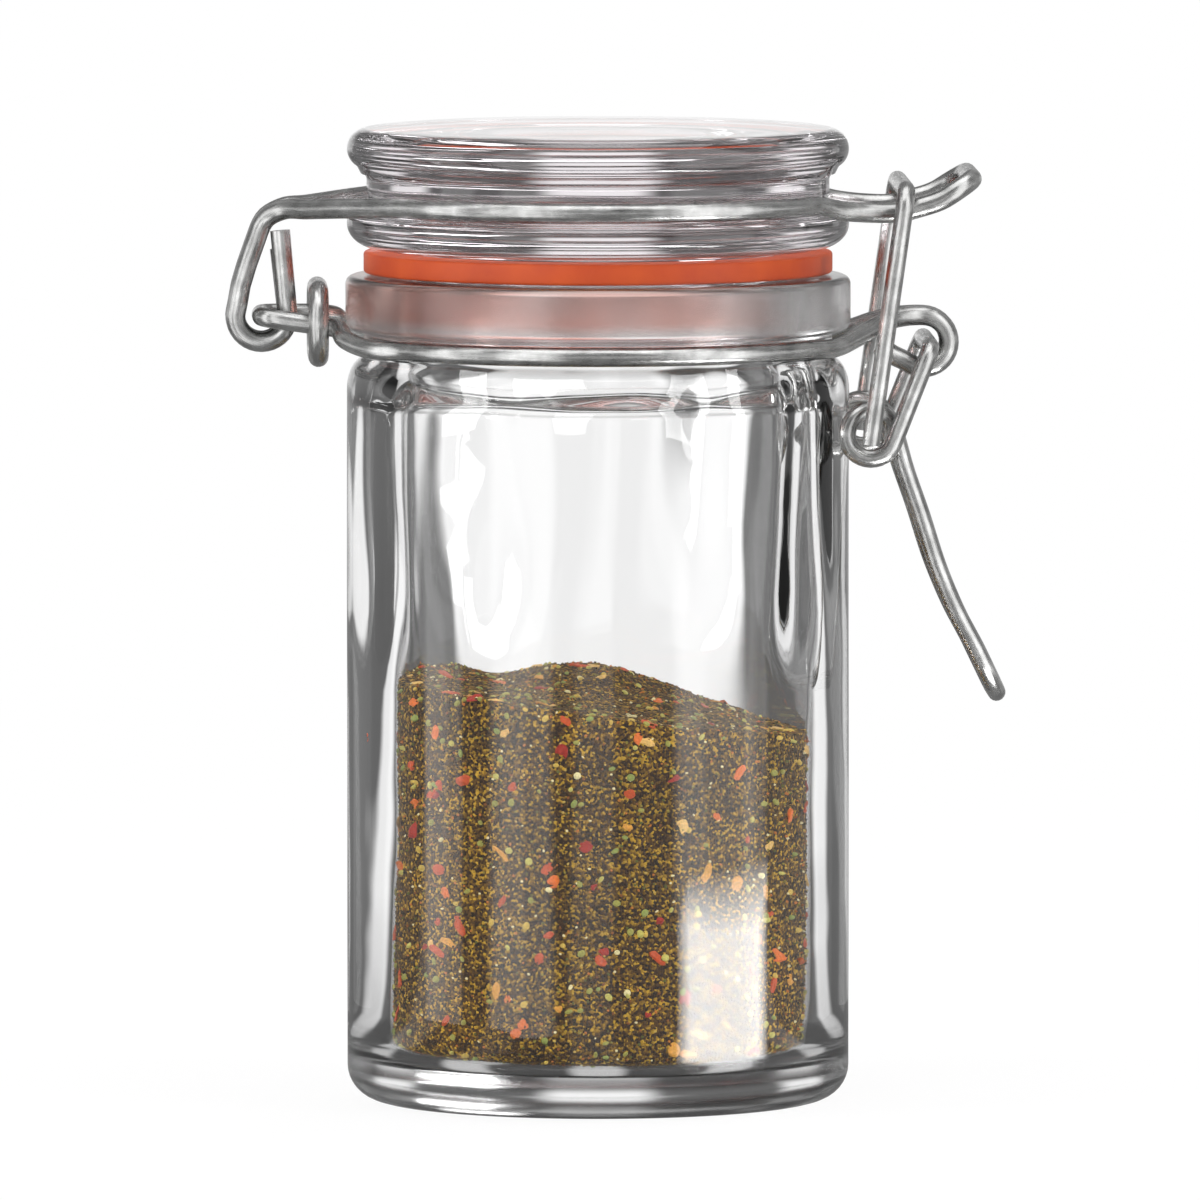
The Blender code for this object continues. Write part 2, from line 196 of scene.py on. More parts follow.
def drawnWire():
    # Bright galvanised steel wire, drawn through a die: a grey zinc skin with fine scores along its length.
    material, tree = startMaterial("galvanisedDrawnWire")
    across = addNode(tree, "ShaderNodeAttribute", {"attribute_name": "wireRound"})
    along = addNode(tree, "ShaderNodeAttribute", {"attribute_name": "wireAlong"})
    lengthwise = addNode(tree, "ShaderNodeCombineXYZ", links={"Z": along.outputs["Fac"]})
    # A turn of the wire is about 26 steps of the noise, and a step is about 3.3 mm long.
    spot = addNode(
        tree, "ShaderNodeVectorMath", {"operation": "MULTIPLY_ADD", 1: (2.2, 2.2, 2.2)},
        {0: across.outputs["Vector"]},
    )
    longer = addNode(
        tree, "ShaderNodeVectorMath", {"operation": "SCALE", "Scale": 160.0},
        {0: lengthwise.outputs["Vector"]},
    )
    tree.links.new(longer.outputs["Vector"], spot.inputs[2])
    scores = addNode(
        tree, "ShaderNodeTexNoise", {"Scale": 1.9, "Detail": 4.0, "Roughness": 0.65},
        {"Vector": spot.outputs["Vector"]},
    )
    place = addNode(tree, "ShaderNodeTexCoord")
    patches = addNode(
        tree, "ShaderNodeTexNoise", {"Scale": patternScale(2.381), "Detail": 3.0},
        {"Vector": place.outputs["Object"]},
    )
    colour = addNode(tree, "ShaderNodeValToRGB", links={"Fac": patches.outputs["Fac"]})
    setRamp(colour, [(0.32, "#A0A09F"), (0.55, "#BCBCBB"), (0.75, "#D4D4D3")])
    shine = addNode(
        tree, "ShaderNodeMapRange", {"From Min": 0.3, "From Max": 0.7, "To Min": 0.18, "To Max": 0.36},
        {"Value": scores.outputs["Fac"]},
    )
    bump = addNode(
        tree, "ShaderNodeBump", {"Strength": 0.3, "Distance": 0.0001}, {"Height": scores.outputs["Fac"]},
    )
    steel = addNode(
        tree, "ShaderNodeBsdfPrincipled", {"Metallic": 1.0},
        {
            "Base Color": colour.outputs["Color"], "Roughness": shine.outputs["Result"],
            "Normal": bump.outputs["Normal"],
        },
    )
    finishMaterial(tree, steel.outputs[0])
    return material


def heapDustAndPaintedShade(tree, place, colour, share):
    # Pressed on the glass the herbs are dusty and lit, and on top of the heap they lie in the jar's shade. So
    # the colour is darkened to three quarters away from the glass: painted shade, with the dust film as part
    # of the lighter rim.
    flat = addNode(
        tree, "ShaderNodeVectorMath", {"operation": "MULTIPLY", 1: (1.0, 1.0, 0.0)},
        {0: place.outputs["Object"]},
    )
    fromAxis = addNode(tree, "ShaderNodeVectorMath", {"operation": "LENGTH"}, {0: flat.outputs["Vector"]})
    lit = addNode(
        tree, "ShaderNodeMapRange",
        {"From Min": 18.6 * mm, "From Max": 19.7 * mm, "To Min": 0.75, "To Max": 1.0},
        {"Value": fromAxis.outputs["Value"]},
    )
    shade = addNode(
        tree, "ShaderNodeMath", {"operation": "MULTIPLY"},
        {0: share.outputs["Result"], 1: lit.outputs["Result"]},
    )
    return addNode(
        tree, "ShaderNodeVectorMath", {"operation": "SCALE"},
        {0: colour.outputs["Color"], "Scale": shade.outputs[0]},
    )


def herbDust():
    # Ground leaf and spice packed between the flakes: dull brown and ochre grains, about 0.24 mm across.
    material, tree = startMaterial("groundHerbDust")
    place = addNode(tree, "ShaderNodeTexCoord")
    grains = addNode(
        tree, "ShaderNodeTexVoronoi", {"Scale": patternScale(0.2381)}, {"Vector": place.outputs["Object"]},
    )
    value = addNode(tree, "ShaderNodeSeparateColor", links={"Color": grains.outputs["Color"]})
    colour = addNode(tree, "ShaderNodeValToRGB", links={"Fac": value.outputs["Red"]})
    setRamp(
        colour, [(0.0, "#180E03"), (0.35, "#382208"), (0.6, "#5A3E0A"), (0.8, "#8A6610"), (0.95, "#C49A24")],
    )
    drift = addNode(
        tree, "ShaderNodeTexNoise", {"Scale": patternScale(9.091), "Detail": 2.0},
        {"Vector": place.outputs["Object"]},
    )
    patch = addNode(
        tree, "ShaderNodeMapRange", {"From Min": 0.3, "From Max": 0.7, "To Min": 0.75, "To Max": 1.2},
        {"Value": drift.outputs["Fac"]},
    )
    dustedAndShaded = heapDustAndPaintedShade(tree, place, colour, patch)
    bump = addNode(
        tree, "ShaderNodeBump", {"Strength": 0.8, "Distance": 0.0003, "invert": True},
        {"Height": grains.outputs["Distance"]},
    )
    dust = addNode(
        tree, "ShaderNodeBsdfPrincipled", {"Roughness": 0.85},
        {"Base Color": dustedAndShaded.outputs["Vector"], "Normal": bump.outputs["Normal"]},
    )
    finishMaterial(tree, dust.outputs[0])
    return material


def herbFlakes(name, stops, roughness):
    # Dry flakes and seeds: each takes one colour of its mix from the number that the scatter gave it.
    material, tree = startMaterial(name)
    pick = addNode(tree, "ShaderNodeAttribute", {"attribute_name": "herbShade"})
    colour = addNode(tree, "ShaderNodeValToRGB", links={"Fac": pick.outputs["Fac"]})
    colour.color_ramp.interpolation = "CONSTANT"
    setRamp(colour, stops)
    place = addNode(tree, "ShaderNodeTexCoord")
    fibre = addNode(
        tree, "ShaderNodeTexNoise", {"Scale": patternScale(0.1923), "Detail": 2.0},
        {"Vector": place.outputs["Object"]},
    )
    streak = addNode(
        tree, "ShaderNodeMapRange", {"From Min": 0.3, "From Max": 0.7, "To Min": 0.75, "To Max": 1.15},
        {"Value": fibre.outputs["Fac"]},
    )
    dustedAndShaded = heapDustAndPaintedShade(tree, place, colour, streak)
    flake = addNode(
        tree, "ShaderNodeBsdfPrincipled", {"Roughness": roughness}, {"Base Color": dustedAndShaded.outputs["Vector"]},
    )
    finishMaterial(tree, flake.outputs[0])
    return material


jarGlass = clearGlass(
    "pressedJarGlass", "#FEFEFE", marks=0.12, frostFrom=76.2, frost=0.18, footFrost=0.12, rubberReflection=0.6,
)
# The lid's faint lilac tint is a painted reflection of the lilac sheen at its edges, spread over all of its
# glass.
lidGlass = clearGlass("pressedLidGlass", "#F3EEF1", marks=0.14, frostFrom=80.0, frost=0.03)
rubberFinish = orangeRubber()
wireFinish = drawnWire()
dustFinish = herbDust()
grainFinish = herbFlakes(
    "groundLeafGrain",
    [
        (0.0, "#1C1104"), (0.2, "#3C2508"), (0.36, "#5E3E0C"), (0.48, "#8A4E10"), (0.58, "#5A5C1C"),
        (0.7, "#8E8028"), (0.8, "#C0701C"), (0.88, "#C8A84A"), (0.95, "#E8DCA8"),
    ],
    0.7,
)
seedFinish = herbFlakes(
    "paleRoundSeed",
    [(0.0, "#9C9A42"), (0.3, "#C3BA5A"), (0.55, "#D0B048"), (0.75, "#8C9846"), (0.9, "#E6DAA0")],
    0.5,
)
flakeFinish = herbFlakes(
    "driedPepperFlake",
    [(0.0, "#C04A14"), (0.35, "#DC6C1C"), (0.55, "#A0220E"), (0.7, "#DA9A32"), (0.88, "#E4B864")],
    0.5,
)
print("materials made")


def addObject(name, data):
    thing = bpy.data.objects.new(name, data)
    bpy.context.scene.collection.objects.link(thing)
    return thing


def smoothMesh(name, shape, material):
    bmesh.ops.recalc_face_normals(shape, faces=shape.faces)
    mesh = bpy.data.meshes.new(name)
    shape.to_mesh(mesh)
    shape.free()
    mesh.shade_smooth()
    mesh.materials.append(material)
    return mesh


def arcPoints(centreR, centreZ, radius, start, end, count):
    return [
        (
            centreR + radius * math.cos(math.radians(start + (end - start) * i / count)),
            centreZ + radius * math.sin(math.radians(start + (end - start) * i / count)),
        )
        for i in range(count + 1)
    ]


def straightPoints(start, end, step):
    count = max(1, round(math.dist(start, end) / step))
    return [
        (start[0] + (end[0] - start[0]) * i / count, start[1] + (end[1] - start[1]) * i / count)
        for i in range(count + 1)
    ]


def turnedPiece(name, profile, around, material, ripple=None):
    # profile: (radius, height) in mm from the axis on the top or inside, round to the axis underneath
    shape = bmesh.new()
    rings = []
    for r, z in profile:
        if r < 1e-6:
            rings.append([shape.verts.new((0, 0, z * mm))])
            continue
        ring = []
        for i in range(around):
            turn = 2 * math.pi * i / around
            radius, height = (r, z) if ripple is None else ripple(r, z, turn)
            ring.append(
                shape.verts.new((radius * math.cos(turn) * mm, radius * math.sin(turn) * mm, height * mm))
            )
        rings.append(ring)
    closed = len(rings[0]) > 1
    pairs = list(zip(rings, rings[1:])) + ([(rings[-1], rings[0])] if closed else [])
    for above, below in pairs:
        for i in range(around):
            j = (i + 1) % around
            if len(above) == 1:
                shape.faces.new((above[0], below[i], below[j]))
            elif len(below) == 1:
                shape.faces.new((above[i], below[0], above[j]))
            else:
                shape.faces.new((above[i], below[i], below[j], above[j]))
    return addObject(name, smoothMesh(name, shape, material))


jar = {
    "side": 24.95, "wall": 4.25, "floor": 4.0, "baseCorner": 3.45, "shoulderLow": 70.7, "shoulder": 3.2,
    "neck": 23.3, "collar": 25.1, "collarLow": 76.7, "collarTop": 82.1, "edge": 0.8, "mouth": 19.6,
    "around": 192, "ripple": 0.2, "upperRipple": 0.75, "outerRipple": 0.045, "floorBend": 2.4, "throat": 4.0,
    "throatSteps": 8, "shoulderSteps": 10, "fillet": 0.5, "pointGap": 2.5,
}


def jarProfile():
    inner = jar["side"] - jar["wall"]
    bend, throat, fillet, gap = jar["floorBend"], jar["throat"], jar["fillet"], jar["pointGap"]
    top = jar["shoulderLow"] + jar["shoulder"] - 1.0
    points = straightPoints((0.0, jar["floor"]), (inner - bend, jar["floor"]), gap)
    points += arcPoints(inner - bend, jar["floor"] + bend, bend, -90, 0, 6)[1:]
    points += straightPoints((inner, jar["floor"] + bend), (inner, top - throat), gap)[1:]
    for i in range(1, jar["throatSteps"] + 1):  # the inside draws in to the mouth in a long S
        t = i / jar["throatSteps"]
        points.append((inner - (inner - jar["mouth"]) * t * t * (3 - 2 * t), top - throat + throat * t))
    edge = jar["edge"]
    points += straightPoints((jar["mouth"], top), (jar["mouth"], jar["collarTop"] - edge), gap)[1:]
    points += arcPoints(jar["mouth"] + edge, jar["collarTop"] - edge, edge, 180, 90, 5)[1:]
    mouthEdge, collarEdge = jar["mouth"] + edge, jar["collar"] - edge
    points += straightPoints((mouthEdge, jar["collarTop"]), (collarEdge, jar["collarTop"]), 2.0)[1:]
    points += arcPoints(jar["collar"] - edge, jar["collarTop"] - edge, edge, 90, 0, 6)[1:]
    points += arcPoints(jar["collar"] - edge, jar["collarLow"] + edge, edge, 0, -90, 6)
    neckTop = jar["shoulderLow"] + jar["shoulder"]
    points += arcPoints(jar["neck"] + fillet, jar["collarLow"] - fillet, fillet, 90, 180, 3)
    points += arcPoints(jar["neck"] + fillet, neckTop + fillet, fillet, 180, 250, 3)
    step, rise = jar["side"] - jar["neck"], jar["shoulder"]
    for i in range(3, jar["shoulderSteps"] + 1):
        turn = math.radians(90 - 90 * i / jar["shoulderSteps"])
        points.append((jar["neck"] + step * math.cos(turn), jar["shoulderLow"] + rise * math.sin(turn)))
    points += straightPoints((jar["side"], jar["shoulderLow"]), (jar["side"], jar["baseCorner"]), gap)[1:]
    points += arcPoints(jar["side"] - jar["baseCorner"], jar["baseCorner"], jar["baseCorner"], 0, -90, 9)[1:]
    points += straightPoints((jar["side"] - jar["baseCorner"], 0.0), (0.0, 0.0), 4.0)[1:]
    return points


def wander(turn, z, roundSteps, upSteps, layer):
    # smooth noise on the wall: steps across the jar's half width, steps for each mm up, and its own layer
    around = Vector((math.cos(turn), math.sin(turn), 0.0))
    return noise.noise(around * roundSteps + Vector((*layer, z * upSteps)))


def jarRipple(r, z, turn):
    # Blown against air on the inside, so that wall wanders, while the mould holds the outside nearly true.
    low, high, run, heapTop = 3.0, 76.0, 6.0, 43.0
    if z < low or z > high:
        return r, z
    fade = min(1.0, (z - low) / run, (high - z) / run)
    if r < jar["side"] - jar["wall"] + 0.5 and z > jar["floor"] + 0.5:
        swell = wander(turn, z, 2.1, 0.022, (0, 0)) + 0.2 * wander(turn, z, 4.6, 0.05, (3, 5))
        above = min(1.0, max(0.0, (z - heapTop) / run))
        least = -0.2 - 0.8 * above  # the wall keeps clear of the herbs
        return r + max(least, (jar["ripple"] + jar["upperRipple"] * above) * fade * (swell + 0.2)), z
    if r > jar["side"] - 1.0:
        return r + jar["outerRipple"] * fade * wander(turn, z, 2.6, 0.05, (9, 2)), z
    return r, z


jarPiece = turnedPiece("jarGlassBody", jarProfile(), jar["around"], jarGlass, jarRipple)

lid = {
    "radius": 24.95, "top": 96.7, "rim": 1.98, "grooveTop": 92.3, "grooveLow": 88.3, "groove": 23.0,
    "flangeLow": 84.8, "taper": 3.2, "plug": 18.85, "plugDepth": 3.4, "plugWall": 4.5, "hollow": 3.6,
    "around": 176, "grooveFillet": 0.6, "flangeEdge": 0.55, "widestAt": 0.7, "flangeSteps": 10,
    "plugFillet": 0.4, "plugEdge": 0.6,
}


def lidProfile():
    rim, radius = lid["rim"], lid["radius"]
    low = lid["flangeLow"] - lid["plugDepth"]
    points = straightPoints((0.0, lid["top"]), (radius - rim, lid["top"]), 3.0)
    points += arcPoints(radius - rim, lid["top"] - rim, rim, 90, -60, 14)[1:]
    fillet, edge = lid["grooveFillet"], lid["flangeEdge"]
    points += arcPoints(lid["groove"] + fillet, lid["grooveTop"] - fillet, fillet, 90, 180, 4)
    points += arcPoints(lid["groove"] + fillet, lid["grooveLow"] + fillet, fillet, 180, 270, 4)
    points += arcPoints(radius - edge, lid["grooveLow"] - edge, edge, 90, 0, 4)
    widest = lid["flangeLow"] + lid["widestAt"] * (lid["grooveLow"] - lid["flangeLow"])
    foot = radius - lid["taper"]
    for i in range(lid["flangeSteps"] + 1):
        turn = math.radians(90 * i / lid["flangeSteps"])
        points.append(
            (foot + lid["taper"] * math.cos(turn), widest - (widest - lid["flangeLow"]) * math.sin(turn))
        )
    hollow = lid["plug"] - lid["plugWall"]
    fillet, edge = lid["plugFillet"], lid["plugEdge"]
    points += arcPoints(lid["plug"] + fillet, lid["flangeLow"] - fillet, fillet, 90, 180, 3)
    points += arcPoints(lid["plug"] - edge, low + edge, edge, 0, -90, 4)
    points += arcPoints(hollow + edge, low + edge, edge, -90, -180, 4)
    points += straightPoints((hollow - 1.0, low + lid["hollow"]), (0.0, low + lid["hollow"]), 3.0)
    return points


lidPiece = turnedPiece("lidGlass", lidProfile(), lid["around"], lidGlass)

gasket = {"inner": 19.15, "outer": 23.3, "low": 82.4, "high": 84.5, "edge": 0.3, "around": 160}


def gasketProfile():
    edge, low, high = gasket["edge"], gasket["low"], gasket["high"]
    points = arcPoints(gasket["inner"] + edge, high - edge, edge, 180, 90, 3)
    points += arcPoints(gasket["outer"] - edge, high - edge, edge, 90, 0, 4)
    points += arcPoints(gasket["outer"] - edge, low + edge, edge, 0, -90, 4)
    return points + arcPoints(gasket["inner"] + edge, low + edge, edge, -90, -180, 3)


gasketPiece = turnedPiece("rubberSealingRing", gasketProfile(), gasket["around"], rubberFinish)
print("glass and ring made")


def nodeGroup(name, inputs):
    tree = bpy.data.node_groups.new(name, "GeometryNodeTree")
    tree.interface.new_socket("Geometry", in_out="INPUT", socket_type="NodeSocketGeometry")
    for label, kind in inputs:
        tree.interface.new_socket(label, in_out="INPUT", socket_type=kind)
    tree.interface.new_socket("Geometry", in_out="OUTPUT", socket_type="NodeSocketGeometry")
    return tree, tree.nodes.new("NodeGroupInput")


def applyGroup(source, tree, values, name):
    # sets the group's named inputs, takes its result as a plain mesh, and drops the source
    modifier = source.modifiers.new("nodes", "NODES")
    modifier.node_group = tree
    for item in tree.interface.items_tree:
        if item.in_out == "INPUT" and item.name in values:
            modifier[item.identifier] = values[item.name]
    bpy.context.view_layer.update()
    ready = source.evaluated_get(bpy.context.evaluated_depsgraph_get())
    mesh = bpy.data.meshes.new_from_object(ready)
    mesh.name = name
    piece = addObject(name, mesh)
    bpy.data.objects.remove(source)
    return piece


def wireTree():
    tree, given = nodeGroup(
        "drawnWireAlongPath",
        [
            ("Radius", "NodeSocketFloat"), ("Spacing", "NodeSocketFloat"), ("Sides", "NodeSocketInt"),
            ("Finish", "NodeSocketMaterial"),
        ],
    )
    even = addNode(
        tree, "GeometryNodeResampleCurve", {"mode": "LENGTH"},
        {"Curve": given.outputs["Geometry"], "Length": given.outputs["Spacing"]},
    )
    run = addNode(tree, "GeometryNodeSplineParameter")
    marked = addNode(
        tree, "GeometryNodeStoreNamedAttribute",
        {"data_type": "FLOAT", "domain": "POINT", "Name": "wireAlong"},
        {"Geometry": even.outputs["Curve"], "Value": run.outputs["Length"]},
    )
    circle = addNode(
        tree, "GeometryNodeCurvePrimitiveCircle",
        links={"Resolution": given.outputs["Sides"], "Radius": given.outputs["Radius"]},
    )
    share = addNode(tree, "GeometryNodeSplineParameter")
    turn = addNode(
        tree, "ShaderNodeMath", {"operation": "MULTIPLY", 1: 2 * math.pi}, {0: share.outputs["Factor"]},
    )
    cosine = addNode(tree, "ShaderNodeMath", {"operation": "COSINE"}, {0: turn.outputs[0]})
    sine = addNode(tree, "ShaderNodeMath", {"operation": "SINE"}, {0: turn.outputs[0]})
    spot = addNode(tree, "ShaderNodeCombineXYZ", links={"X": cosine.outputs[0], "Y": sine.outputs[0]})
    rounded = addNode(
        tree, "GeometryNodeStoreNamedAttribute",
        {"data_type": "FLOAT_VECTOR", "domain": "POINT", "Name": "wireRound"},
        {"Geometry": circle.outputs["Curve"], "Value": spot.outputs["Vector"]},
    )
    tube = addNode(
        tree, "GeometryNodeCurveToMesh", {"Fill Caps": True},
        {"Curve": marked.outputs["Geometry"], "Profile Curve": rounded.outputs["Geometry"]},
    )
    real = addNode(tree, "GeometryNodeRealizeInstances", links={"Geometry": tube.outputs["Mesh"]})
    done = addNode(
        tree, "GeometryNodeSetMaterial",
        links={"Geometry": real.outputs["Geometry"], "Material": given.outputs["Finish"]},
    )
    addNode(tree, "NodeGroupOutput", links={"Geometry": done.outputs["Geometry"]})
    return tree


wirePath = wireTree()
arcStep = math.radians(7)
loopStep = math.radians(3)
wireSides = 18
closest = 0.06  # mm between two points of a wire's path


def roundedPath(corners, radii):
    # a path through corners, with each inner one bent to its radius
    path = [Vector(corners[0])]
    for before, at, after, radius in zip(corners, corners[1:], corners[2:], radii):
        at = Vector(at)
        back, on = (Vector(before) - at).normalized(), (Vector(after) - at).normalized()
        half = back.angle(on) / 2
        centre = at + (back + on).normalized() * (radius / math.sin(half))
        a, b = at + back * (radius / math.tan(half)) - centre, at + on * (radius / math.tan(half)) - centre
        turn = math.pi - 2 * half
        count = max(3, round(turn / arcStep))
        for i in range(count + 1):
            t = i / count
            path.append(centre + (a * math.sin((1 - t) * turn) + b * math.sin(t * turn)) / math.sin(turn))
    return path + [Vector(corners[-1])]


def uprightArc(x, z, radius, y, start, end):
    count = max(3, math.ceil(abs(end - start) / arcStep))
    turns = [start + (end - start) * i / count for i in range(count + 1)]
    return [Vector((x + radius * math.cos(t), y, z + radius * math.sin(t))) for t in turns]


def levelArc(radius, z, start, end):
    count = math.ceil(abs(end - start) / loopStep)
    turns = [start + (end - start) * i / count for i in range(count + 1)]
    return [Vector((radius * math.cos(t), radius * math.sin(t), z)) for t in turns]


def easyPath(before, route, after):
    # a smooth way from one run, through the route's points, into the next run
    knots = [*before[-2:], *(Vector(p) for p in route), *after[:2]]
    spans = [(b - a).length for a, b in zip(knots, knots[1:])]
    path = []
    for i in range(1, len(knots) - 2):
        slopes = []
        for k in (i, i + 1):
            into, out = (knots[k] - knots[k - 1]) / spans[k - 1], (knots[k + 1] - knots[k]) / spans[k]
            slopes.append((into * spans[k] + out * spans[k - 1]) / (spans[k - 1] + spans[k]))
        count = max(1, round(spans[i] / 0.5))
        for step in range(count):
            t = step / count
            path.append(knots[i] * (2 * t**3 - 3 * t**2 + 1) + slopes[0] * (spans[i] * (t**3 - 2 * t**2 + t))
                        + knots[i + 1] * (3 * t**2 - 2 * t**3) + slopes[1] * (spans[i] * (t**3 - t**2)))
    return before[:-1] + path + after


def otherSide(half):
    return [Vector((p.x, -p.y, p.z)) for p in half]


def bentWire(name, path, radius, closed=False, roundEnds=False):
    points = [path[0]]
    for p in path[1:]:
        if (p - points[-1]).length > closest:
            points.append(p)
    curve = bpy.data.curves.new(name + "Path", "CURVE")
    curve.dimensions = "3D"
    spline = curve.splines.new("POLY")
    spline.use_cyclic_u = closed
    ends = [1.0] * len(points)
    if roundEnds:  # a domed tip, in four short steps past each end
        tail, head = (points[0] - points[1]).normalized(), (points[-1] - points[-2]).normalized()
        dome = [(math.sin(t), math.cos(t)) for t in (0.5, 1.0, 1.35, 1.5)]
        before = [points[0] + tail * radius * out for out, width in reversed(dome)]
        after = [points[-1] + head * radius * out for out, width in dome]
        points = before + points + after
        ends = [width for out, width in reversed(dome)] + ends + [width for out, width in dome]
    spline.points.add(len(points) - 1)
    for slot, p, width in zip(spline.points, points, ends):
        slot.co = (p.x * mm, p.y * mm, p.z * mm, 1.0)
        slot.radius = width
    source = addObject(name + "Path", curve)
    spacing = 0.2 if roundEnds else 0.45
    piece = applyGroup(
        source, wirePath,
        {"Radius": radius * mm, "Spacing": spacing * mm, "Sides": wireSides, "Finish": wireFinish}, name,
    )
    piece.data.shade_smooth()
    return piece


side = jar["side"]
neck = {
    "wire": 0.95, "loop": 24.55, "height": 75.45, "hingeX": -33.45, "hingeZ": 78.15, "legY": 3.5,
    "legRises": (1.9, 2.7), "legBend": 1.6, "eyeX": 32.3, "eyeR": 2.6, "eyeY": 1.2,
    "flare": ((1.3, 1.0, 0.9), (0.35, 4.8, 0.42), (-2.2, 8.8, 0.0)),
    "toEye": ((-1.45, 9.7, 0.05), (0.55, 7.2, 0.85), (2.55, 4.5, 1.75), (4.55, 2.2, 2.4)),
    "legOut": 3.0, "loopFrom": 218, "loopTo": 325, "eyeEnd": -128, "tail": ((3.0, 1.35), (4.4, 0.4)),
}


def neckHalf(rise):
    z, legX, legY = neck["height"], -(side + neck["legOut"]), neck["legY"]
    leg = roundedPath(
        [
            (neck["hingeX"], 0, neck["hingeZ"]), (neck["hingeX"], -legY, neck["hingeZ"]),
            (legX, -legY, z + rise),
        ],
        [neck["legBend"]],
    )
    flare = [(-(side + out), -(legY + wider), z + rise * share) for out, wider, share in neck["flare"]]
    loop = levelArc(neck["loop"], z, math.radians(neck["loopFrom"]), math.radians(neck["loopTo"]))
    path = easyPath(leg, flare, loop)
    eyeEnd = math.radians(neck["eyeEnd"])
    eye = uprightArc(neck["eyeX"], z, neck["eyeR"], -neck["eyeY"], math.pi / 2, eyeEnd)
    path = easyPath(path, [(side + out, -half, z + up) for out, half, up in neck["toEye"]], eye)
    tail = [Vector((neck["eyeX"] - back, -neck["eyeY"], z - down)) for back, down in neck["tail"]]
    return easyPath(path, [], tail)


neckFront, neckRear = (neckHalf(rise) for rise in neck["legRises"])
neckPiece = bentWire("neckWireRound", otherSide(neckRear)[::-1] + neckFront[1:], neck["wire"])

ring = {"wire": 1.0, "x": -27.85, "z": 77.5, "halfHeight": 3.3, "legY": 3.5, "endSteps": 24}


def ringPath():
    path = []
    for way, first in ((-1, -1.5 * math.pi), (1, -0.5 * math.pi)):
        for i in range(ring["endSteps"] + 1):
            turn = first + math.pi * i / ring["endSteps"]
            y = way * ring["legY"] + ring["halfHeight"] * math.cos(turn)
            path.append(Vector((ring["x"], y, ring["z"] + ring["halfHeight"] * math.sin(turn))))
    return path


ringPiece = bentWire("closingRingRound", ringPath(), ring["wire"], closed=True)

lidWire = {
    "wire": 1.0, "loop": 24.3, "height": 89.6, "hookR": 2.6, "hookY": 1.25, "stubs": (8.5, 6.6),
    "stubLean": 0.75, "knee": ((-0.95, 9.7, -0.3), (4.05, 4.2, -0.7), (6.5, 1.9, -0.9), (7.9, 1.25, -1.6)),
    "leg": ((0.75, 4.4), (1.45, 6.4), (2.05, 8.4), (2.4, 10.4)),
    "nose": ((-0.45, 9.5, -0.7), (2.05, 8.4, -0.9), (4.55, 8.0, -0.9), (6.65, 8.0, -0.4), (9.35, 8.0, 0.6)),
    "tip": (11.95, 8.0, 2.3), "tipBend": 2.6, "loopFrom": 328.8, "loopTo": 222.5,
}


def lidWireHalf(stub):
    z, hookY, hookX, hookZ = lidWire["height"], lidWire["hookY"], neck["hingeX"], neck["hingeZ"]
    nose = [(side + out, -half, z + up) for out, half, up in lidWire["nose"]]
    out, half, up = lidWire["tip"]
    front = roundedPath(
        [(side + out, 0, z + up), (side + out, -half, z + up), nose[-1]], [lidWire["tipBend"]],
    )
    loopFrom, loopTo = math.radians(lidWire["loopFrom"]), math.radians(lidWire["loopTo"])
    path = easyPath(front, nose[-2::-1], levelArc(lidWire["loop"], z, loopFrom, loopTo))
    leg = [Vector((hookX - out, -hookY, z - down)) for out, down in lidWire["leg"]]
    path = easyPath(path, [(-(side + out), -half, z + up) for out, half, up in lidWire["knee"]], leg)
    path = easyPath(path, [], uprightArc(hookX, hookZ, lidWire["hookR"], -hookY, math.pi, 2 * math.pi))
    return path + [Vector((hookX + lidWire["hookR"] - lidWire["stubLean"], -hookY, hookZ + stub))]


lidFront, lidRear = (lidWireHalf(stub) for stub in lidWire["stubs"])
lidWirePiece = bentWire("lidWireRound", otherSide(lidRear)[::-1] + lidFront[1:], lidWire["wire"])

lever = {
    "wire": 0.9, "pivotX": 32.7, "pivotZ": 75.35, "coilX": 26.75, "coilZ": 66.75, "coilR": 2.38,
    "armY": 9.4, "handleY": 7.5, "bend": 1.6, "barEnd": 0.15,
    "handle": ((3.55, 3.7), (4.95, 7.7), (6.95, 13.8), (8.65, 17.8), (10.75, 21.8)), "tip": (12.75, 26.0),
    "tipBend": 3.6,
}


def coilTouch(x, z, way):
    dx, dz = x - lever["coilX"], z - lever["coilZ"]
    return math.atan2(dz, dx) + way * math.acos(lever["coilR"] / math.hypot(dx, dz))


def leverHalf():
    cx, cz, y = lever["coilX"], lever["coilZ"], lever["handleY"]
    route = [Vector((cx + out, -y, cz - down)) for out, down in lever["handle"]]
    tipX, tipZ = cx + lever["tip"][0], cz - lever["tip"][1]
    path = roundedPath([(tipX, 0, tipZ), (tipX, -y, tipZ), route[-1]], [lever["tipBend"]])
    start = coilTouch(route[0].x, route[0].z, 1.0)
    end = 2 * math.pi + coilTouch(lever["pivotX"], lever["pivotZ"], -1.0)
    coil = uprightArc(cx, cz, lever["coilR"], -y, start, end)
    for i, p in enumerate(coil):  # the turn steps out from the handle's plane to the arm's
        t = min(1.0, (end - start) * i / (len(coil) - 1) / (math.pi - start))
        p.y -= (lever["armY"] - y) * t * t * (3 - 2 * t)
    path = easyPath(path, route[-2::-1], coil)
    arm = [
        path[-1], (lever["pivotX"], -lever["armY"], lever["pivotZ"]),
        (lever["pivotX"], -lever["barEnd"], lever["pivotZ"]),
    ]
    return path[:-1] + roundedPath(arm, [lever["bend"]])


leverPath = leverHalf()
leverPiece = bentWire("clampLeverRound", otherSide(leverPath)[::-1] + leverPath[1:], lever["wire"])

